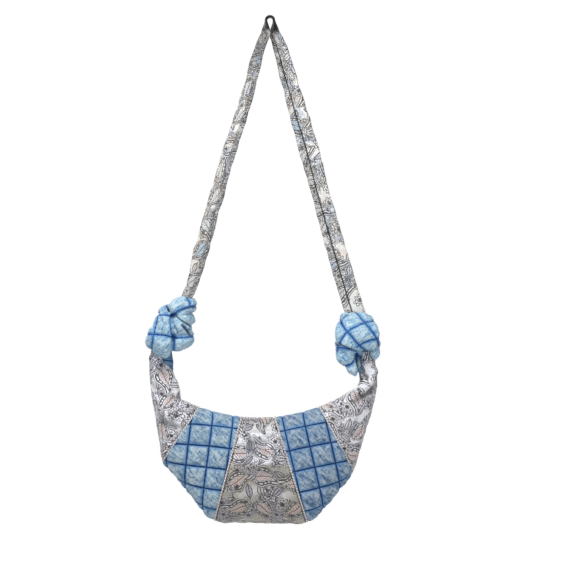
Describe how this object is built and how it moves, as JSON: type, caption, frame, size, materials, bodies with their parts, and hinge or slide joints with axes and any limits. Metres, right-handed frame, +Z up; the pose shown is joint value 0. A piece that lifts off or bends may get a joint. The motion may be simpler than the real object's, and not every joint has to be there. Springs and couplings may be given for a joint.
{
  "type": "shoulder bag",
  "caption": "Crescent patchwork shoulder bag with quilted denim and jacquard panels, a zipped mouth and a long strap loop tied to its necks with large knots.",
  "frame": {"origin": "the hook seat: the middle of the flat underside of the strap where the loop hangs on a hook", "axes": "+Z up, +X to the right seen from the front, -Y out of the bag's front"},
  "size_m": [0.3526, 0.0862, 0.763],
  "materials": {
    "jacquard": "woven taupe floral jacquard with a satin sheen",
    "quilted_denim": "light-washed denim, quilted with dark blue thread",
    "strap_jacquard": "pale grey floral jacquard, sewn as a flat tube",
    "lining_cloth": "plain woven cotton",
    "zip_tape": "woven tape",
    "zip_metal": "nickel plated"
  },
  "bodies": {
    "strap": {"strap": "strap_jacquard", "left_knot": "quilted_denim", "right_knot": "quilted_denim"},
    "bag": {"front_left_wing": "jacquard", "front_left_quilted_panel": "quilted_denim", "front_centre_panel": "jacquard", "front_right_quilted_panel": "quilted_denim", "front_right_wing": "jacquard", "front_lining": "lining_cloth", "zip_tape_front": "zip_tape", "zip_teeth_front": "zip_metal", "zip_top_stop_front": "zip_metal", "back_left_wing": "jacquard", "back_left_quilted_panel": "quilted_denim", "back_centre_panel": "jacquard", "back_right_quilted_panel": "quilted_denim", "back_right_wing": "jacquard", "back_lining": "lining_cloth", "zip_tape_back": "zip_tape", "zip_teeth_back": "zip_metal", "zip_top_stop_back": "zip_metal", "left_neck_facing": "quilted_denim", "right_neck_facing": "quilted_denim", "left_neck_roll": "quilted_denim", "right_neck_roll": "quilted_denim", "zip_bottom_stop": "zip_metal", "zip_left_tab": "jacquard", "zip_right_tab": "jacquard"},
    "slider": {"zip_slider": "zip_metal"},
    "pull": {"zip_pull": "zip_metal"}
  },
  "joints": [
    {"name": "bag_fold", "type": "hinge", "parent": "strap", "child": "bag", "pos_m": [0, 0, -0.517], "axis": [1, 0, 0], "range_deg": [-70, 70]},
    {"name": "slider_travel", "type": "hinge", "parent": "bag", "child": "slider", "pos_m": [-0.0166, 0, -0.343], "axis": [0, 1, 0], "range_deg": [0, 48.26]},
    {"name": "pull_swing", "type": "hinge", "parent": "slider", "child": "pull", "pos_m": [0.10593, 0, -0.57356], "axis": [0, 1, 0], "range_deg": [0, 135]}
  ]
}
